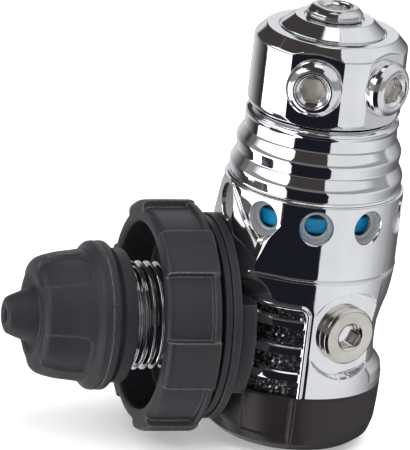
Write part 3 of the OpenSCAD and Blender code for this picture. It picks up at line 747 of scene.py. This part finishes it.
def build_handwheel():
    az = wheel_angles()
    mask = lobe_mask(az, 0.35)
    rim = [
        (20.2, 35.4), (19.8, 35.2), (19.6, 34.7), (19.5, 31.0), (19.35, 27.9), (19.1, 27.5), (13.1, 27.5),
    ]
    panel = [
        (13.1, 23.95), (20.4, 23.95), (22.6, 24.0), (23.6, 24.15), (23.9, 24.5), (23.9, 25.3), (23.75, 25.6),
        (22.85, 25.8), (22.8, 30.0), (22.8, 33.8), (22.6, 34.6), (22.1, 35.2), (21.4, 35.4),
    ] + rim
    lobe = [
        (13.1, 23.95), (20.4, 23.95), (23.4, 24.0), (24.1, 24.1), (24.35, 24.4), (24.35, 25.3), (24.35, 25.6),
        (24.35, 25.8), (24.35, 30.0), (24.3, 33.8), (24.2, 34.5), (23.8, 35.1), (22.9, 35.4),
    ] + rim
    steps = 220
    rings = []
    for p, q in zip(evenly(soften(panel, 0.3, 4), steps), evenly(soften(lobe, 0.3, 4), steps)):
        rings.append(ring_at(p[0] + (q[0] - p[0]) * mask, p[1] + (q[1] - p[1]) * mask, az))
    wheel = loop_skin("handwheel_moulding", rings, 45)
    return settle(on_din(wheel), wheel_black, "handwheel", "wheel_rubber", "handwheel")


def evenly(profile, count):
    """The profile at count points spaced by share of its length."""
    d = np.concatenate([[0], np.cumsum(np.linalg.norm(np.diff(profile, axis=0), axis=1))])
    t = np.linspace(0, d[-1], count)
    return np.stack([np.interp(t, d, profile[:, 0]), np.interp(t, d, profile[:, 1])], 1)


def thread_rows():
    """Offset along the axis and radius of the thread form over one pitch, with a round crest and root."""
    share = np.linspace(0, 1, 22, endpoint=False)
    flank = np.abs(((share + 0.5) % 1.0) - 0.5) * 2
    return share * THREAD_PITCH, THREAD_R - THREAD_DEPTH * (1 - smoothstep(0.16, 0.92, 1 - flank))


def build_coupling():
    """The thread's rings climb by one pitch per turn, so its crests are smooth lines of the mesh."""
    n, start, end = 288, 28.0, 49.6
    root = THREAD_R - THREAD_DEPTH
    offsets, radii = thread_rows()
    turns = int((end - start) / THREAD_PITCH) + 2
    verts, low, high = [], 27.75, 49.85
    along = np.concatenate([offsets + k * THREAD_PITCH for k in range(-1, turns)])
    form = np.tile(radii, turns + 1)
    az = angles(n)
    rows = len(along)
    for i in range(rows):
        u = start + along[i] + THREAD_PITCH * az / 360
        fade = smoothstep(low, low + 1.0, u) * (1 - smoothstep(high - 1.2, high, u))
        r = form[i] * fade + root * (1 - fade)
        verts.append(ring_at(r, np.clip(u, low, high), az))
    faces, j = [], np.arange(n - 1)
    for i in range(rows - 1):
        faces += np.stack([i * n + j, i * n + j + 1, (i + 1) * n + j + 1, (i + 1) * n + j], 1).tolist()
    step = len(offsets)
    for i in range(rows - step - 1):
        a, b = i * n + n - 1, (i + step) * n
        faces.append([a, b, b + n, a + n])
    barrel = [
        (root, low), (11.2, 27.58), (12.7, 27.55), (12.95, 27.3), (12.95, 24.25), (12.7, 24.0), (7.7, 24.0),
        (7.7, 47.65), (9.38, 47.7), (9.38, 51.6), (9.5, 51.8), (9.95, 51.8), (10.2, 51.55), (10.2, 50.0),
        (root, high),
    ]
    body = [ring_at(r, u, az) for r, u in barrel]
    base = rows * n
    k = np.arange(n)
    for i in range(len(body) - 1):
        a, b = base + i * n, base + (i + 1) * n
        faces += np.stack([a + k, a + (k + 1) % n, b + (k + 1) % n, b + k], 1).tolist()
    coupling = made("din_thread_coupling", np.concatenate(verts + body), faces, 45)
    weld(coupling)
    return settle(on_din(coupling), chrome, "handwheel", "chrome", "din_coupling")


def weld(obj):
    """Joins vertices that fall together and drops the faces that vanish."""
    bm = bmesh.new()
    bm.from_mesh(obj.data)
    bmesh.ops.remove_doubles(bm, verts=bm.verts, dist=0.0000005)
    bmesh.ops.dissolve_degenerate(bm, edges=bm.edges, dist=0.0000002)
    bmesh.ops.recalc_face_normals(bm, faces=bm.faces)
    bm.to_mesh(obj.data)
    bm.free()


def build_din_front():
    """The retainer's head inside the coupling, with the groove for the sealing ring."""
    profile = soften([
        (0, 46.0), (7.3, 46.0), (7.35, 48.0), (9.0, 48.05), (9.15, 48.3), (9.15, 52.1), (8.95, 52.3),
        (8.3, 52.3), (8.15, 52.1), (8.1, 51.2), (6.1, 51.2), (6.05, 52.1), (5.9, 52.3), (5.6, 52.25),
        (5.5, 51.9), (5.5, 44.2), (0, 44.1),
    ], 0.1, 3)
    head = on_din(lathe("din_retainer_head", profile, 256, 40))
    return settle(head, stainless, "first_stage", "chrome", "din_stem")


def cap_grip(az, u, radius):
    """Four shallow grip panels with rounded corners round the dome of the dust cap."""
    off = np.abs((az - CAP_PANEL_PHASE + 45) % 90 - 45) / CAP_PANEL_HALF_ANGLE
    along = np.abs(u - CAP_PANEL_MIDDLE) / CAP_PANEL_HALF_LENGTH
    edge = (off ** 5 + along ** 5) ** 0.2
    return radius - CAP_PANEL_DEPTH * (1 - smoothstep(0.93, 1.03, edge))


def build_dust_cap():
    az = angles(540)
    outer = finer(soften([
        (12.5, CAP_REAR + 0.05), (13.8, CAP_REAR), (14.05, CAP_REAR + 0.3), (14.15, 41.9), (14.6, 42.5),
        (15.2, 42.95), (15.6, 43.4), (15.67, 44.3), (15.55, 44.75), (15.35, 44.9), (15.55, 45.05),
        (15.65, 45.5), (15.55, 46.4), (15.05, 47.0), (14.3, 47.5), (13.9, 48.2), (13.65, 50.0),
        (13.2, 53.5), (12.6, 56.0), (12.1, 57.3), (11.5, 57.95), (10.6, 58.3), (9.0, 58.6), (8.1, 58.55),
        (7.6, 58.1), (6.7, 57.9), (6.2, 58.1), (5.7, 59.2), (4.2, 63.0), (3.75, 63.85), (3.0, 64.2),
        (1.9, 64.1), (1.5, 63.8), (1.3, 63.2), (1.2, 62.2), (0, 62.0),
    ], 0.25, 4), 0.25)
    inner = soften([(0, 53.6), (9.9, 53.6), (10.3, 53.2), (10.3, 51.4), (12.3, 51.3), (12.5, 51.0),
        (12.5, CAP_REAR + 0.05)], 0.15, 3)
    rings = profile_rings(inner[:-1], az)
    rings += profile_rings(outer, az, lambda r, u: cap_grip(az, u, r) if r > 10 and u > 47.6 else r)
    return settle(on_din(skin("dust_cap_shell", rings, 50)), cap_black, "dust_cap", "cap_rubber", "dust_cap")


# ---------------------------------------------------------------- carried-over CAD pieces

NODE_LOOKS = {
    "thrust_washer": white_plastic, "swivel_orings": rubber_ring, "lp_plug_orings": rubber_ring,
    "top_plug_oring": rubber_ring, "high_pressure_orings": rubber_ring, "piston": stainless,
    "piston_head_oring": rubber_ring, "spring_top_washer": white_plastic, "main_spring": spring_steel,
    "spring_base_washer": blue_plastic, "insulator_sleeve": blue_plastic, "stem_bushing": white_plastic,
    "stem_oring": rubber_ring, "bushing_retainer": stainless, "valve_seat": white_plastic,
    "seat_carrier": stainless, "seat_spring": spring_steel, "seat_retainer": stainless,
    "seat_retainer_oring": rubber_ring, "din_stem_oring": rubber_ring, "din_filter": bronze,
    "filter_snap_ring": stainless, "din_face_oring": rubber_ring, "coupling_washer": white_plastic,
}


def dress_nodes():
    for name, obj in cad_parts.items():
        look = NODE_LOOKS.get(name, chrome)
        obj.data.materials.clear()
        obj.data.materials.append(look)
        obj.data.polygons.foreach_set("use_smooth", [True] * len(obj.data.polygons))
        obj.data.set_sharp_from_angle(angle=math.radians(35))


# ---------------------------------------------------------------- studio

CAMERA_AZ, CAMERA_EL, CAMERA_ROLL = -19.6592, 18.6504, 7.007
CAMERA_DISTANCE = 1.0
CAMERA_LENS = 380.968
# how far right and up of CENTRE the view's middle lies, as tangents of the angles
AIM_RIGHT, AIM_UP = -0.0223777325, -0.0047805590
CENTRE = Vector((0, 0, 0.0506))
# the direction cosines between which the pale wall on the right fades in, and how much its edge leans
WALL_EDGE, WALL_LEAN = (0.2806, 0.2906), 0.0888


def build_camera():
    a, e, roll = (math.radians(v) for v in (CAMERA_AZ, CAMERA_EL, CAMERA_ROLL))
    back = Vector((math.sin(a) * math.cos(e), -math.cos(a) * math.cos(e), math.sin(e)))
    right = Vector((math.cos(a), math.sin(a), 0))
    up = back.cross(right)
    x_axis = right * math.cos(roll) + up * math.sin(roll)
    y_axis = up * math.cos(roll) - right * math.sin(roll)
    data = bpy.data.cameras.new("camera")
    camera = bpy.data.objects.new("camera", data)
    bpy.context.scene.collection.objects.link(camera)
    data.sensor_width = 36
    data.lens = CAMERA_LENS
    data.clip_start, data.clip_end = 0.05, 50
    aim = Vector((AIM_RIGHT, AIM_UP, 1)).normalized()
    to_aim = aim.rotation_difference(Vector((0, 0, 1))).to_matrix()
    turn = Matrix((x_axis, y_axis, back)).transposed() @ to_aim
    camera.matrix_world = Matrix.Translation(CENTRE + back * CAMERA_DISTANCE) @ turn.to_4x4()
    bpy.context.scene.camera = camera


def build_floor():
    """A pale sweep: flat under the object and far beyond it. The metal doesn't mirror it."""
    mesh = bpy.data.meshes.new("floor")
    bm = bmesh.new()
    bmesh.ops.create_grid(bm, x_segments=24, y_segments=24, size=6.0)
    bm.to_mesh(mesh)
    bm.free()
    floor = bpy.data.objects.new("floor", mesh)
    bpy.context.scene.collection.objects.link(floor)
    floor.location = (0, 0, -0.0003)
    material, g = surface("pale_floor")
    cloud = g.noise(3.0, 3, 0.5, g.place)
    fine = g.noise(900, 3, 0.6, g.place)
    finished(g, **{
        "Base Color": g.mix(cloud, (0.94, 0.94, 0.945), (0.96, 0.96, 0.96)),
        "Roughness": g.ramp(cloud, 0.3, 0.7, 0.85, 0.95),
        "Normal": g.bump(fine, 0.00003, 0.3),
        "Emission Color": (1.0, 1.0, 1.0, 1.0),
        "Emission Strength": 0.32,
    })
    mesh.materials.append(material)
    floor.visible_glossy = False


def build_world():
    """A studio of pale and dark cards round the object, as directions on the sky."""
    world = bpy.data.worlds.new("studio")
    bpy.context.scene.world = world
    world.use_nodes = True
    g = Graph(world.node_tree)
    where = g.add("ShaderNodeTexCoord", out=0)
    split = g.add("ShaderNodeSeparateXYZ", {0: where})
    x, y, z = split.node.outputs
    azimuth = g.maths("MULTIPLY", g.maths("ARCTAN2", y, x), 180 / math.pi)
    elevation = g.maths("MULTIPLY", g.maths("ARCSINE", z), 180 / math.pi)

    def band(value, low, high, soft):
        return g.maths("MULTIPLY", g.ramp(value, low - soft, low + soft, 0.0, 1.0),
                       g.ramp(value, high - soft, high + soft, 1.0, 0.0))

    def from_azimuth(middle):
        return g.maths("WRAP", g.maths("SUBTRACT", azimuth, middle), 180.0, -180.0)

    def stops(value, low, high, points):
        node = g.add("ShaderNodeValToRGB", {0: g.ramp(value, low, high, 0.0, 1.0, False)}).node
        while len(node.color_ramp.elements) < len(points):
            node.color_ramp.elements.new(0.5)
        for element, (at, level) in zip(node.color_ramp.elements, sorted(points)):
            element.position = (at - low) / (high - low)
            element.color = (level, level * 1.008, level * 1.03, 1)
        return node.outputs[0]

    brown, black = (0.05, 0.044, 0.042), (0.011, 0.011, 0.017)
    # below the horizon on the left and behind: white card, dark slit, grey falling away to the back
    behind = stops(from_azimuth(90.0), -60.0, 60.0, [
        (-60, 0.10), (-36, 0.09), (-24, 0.12), (-10, 0.50), (0, 0.72), (12, 0.55), (24, 0.32), (36, 0.12),
        (47, 0.03), (60, 0.03),
    ])
    sky = g.mix(g.ramp(elevation, 8, 13, 0.0, 1.0), behind, brown)
    card = g.maths("MULTIPLY", band(from_azimuth(70.0), -14, 14, 3), band(elevation, 4, 60, 4))
    sky = g.mix(card, sky, (0.75, 0.76, 0.78))
    # the white card on the left, with a dark block low in it
    left = g.maths("MULTIPLY", band(from_azimuth(179.0), -34.5, 34.5, 0.7), band(elevation, -75, 43, 2.5))
    sky = g.mix(left, sky, (2.0, 2.0, 2.02))
    block = g.maths("MULTIPLY", band(from_azimuth(173.2), -11.2, 11.2, 0.6), band(elevation, -62, -23.5, 1.0))
    sky = g.mix(block, sky, (0.03, 0.03, 0.045))
    # the dark opening in front
    front = g.maths("MULTIPLY", band(from_azimuth(-118.0), -28.6, 40, 0.7), band(elevation, -75, 20, 1.5))
    sky = g.mix(front, sky, black)
    # the pale wall on the right, which fades away to the back
    to_right = g.maths("ADD", g.maths("MULTIPLY", x, math.cos(math.radians(CAMERA_AZ))),
                       g.maths("MULTIPLY", y, math.sin(math.radians(CAMERA_AZ))))
    edge = g.maths("ADD", to_right, g.maths("MULTIPLY", z, WALL_LEAN))
    drift = g.maths("SUBTRACT", azimuth, g.maths("MULTIPLY", g.maths("ADD", elevation, 18.0), 0.75))
    wall = stops(drift, -120.0, 80.0, [
        (-120, 0.74), (-70, 0.74), (-54, 0.78), (-30, 0.75), (-18, 0.68), (-6, 0.54), (6, 0.42),
        (18, 0.31), (30, 0.19), (42, 0.12), (80, 0.09),
    ])
    right = g.ramp(edge, *WALL_EDGE, 0.0, 1.0)
    sky = g.mix(g.maths("MULTIPLY", right, g.ramp(from_azimuth(-20.0), 75, 83, 1.0, 0.0)), sky, wall)
    # a dim band round the horizon and a dim floor
    dim = g.mix(left, (0.15, 0.148, 0.15), (0.27, 0.27, 0.275))
    horizon = g.mix(right, dim, g.mix(0.42, (0.0, 0.0, 0.0), wall))
    belt = g.maths("MULTIPLY", band(elevation, -5, 23, 4), band(from_azimuth(-110.0), -116, 116, 4))
    sky = g.mix(belt, sky, horizon)
    sky = g.mix(g.ramp(elevation, -60, -72, 0.0, 1.0), sky, (0.75, 0.75, 0.76))
    sky = g.mix(g.ramp(elevation, 76, 80, 0.0, 1.0), sky, (1.1, 1.1, 1.12))
    background = g.add("ShaderNodeBackground", {"Color": sky, "Strength": 1.0})
    g.add("ShaderNodeOutputWorld", {"Surface": background})


def area_light(name, azimuth, elevation, distance, size, power, tint=(1, 1, 1)):
    data = bpy.data.lights.new(name, "AREA")
    data.shape, data.size, data.energy, data.color = "DISK", size, power, tint
    lamp = bpy.data.objects.new(name, data)
    bpy.context.scene.collection.objects.link(lamp)
    a, e = math.radians(azimuth), math.radians(elevation)
    way = Vector((math.cos(a) * math.cos(e), math.sin(a) * math.cos(e), math.sin(e)))
    lamp.location = CENTRE + way * distance
    lamp.rotation_mode = "QUATERNION"
    lamp.rotation_quaternion = way.to_track_quat("Z", "Y")
    lamp.visible_glossy = False
    return lamp


def build_lights():
    area_light("top_softbox", -60, 78, 1.7, 1.8, 17)
    area_light("left_softbox", -165, 38, 1.5, 1.2, 9)
    area_light("right_softbox", 20, 45, 1.7, 1.4, 7)
    area_light("back_softbox", 110, 40, 1.7, 1.4, 6)
    area_light("front_fill", -118, 6, 1.6, 0.5, 6)


build_body()
build_ridged_cap()
build_turret()
build_bolt()
build_plugs()
build_cover()
build_pads()
build_collar()
build_handwheel()
build_coupling()
build_din_front()
build_dust_cap()
dress_nodes()
build_camera()
build_floor()
build_world()
build_lights()
bpy.context.scene.view_settings.view_transform = "Standard"
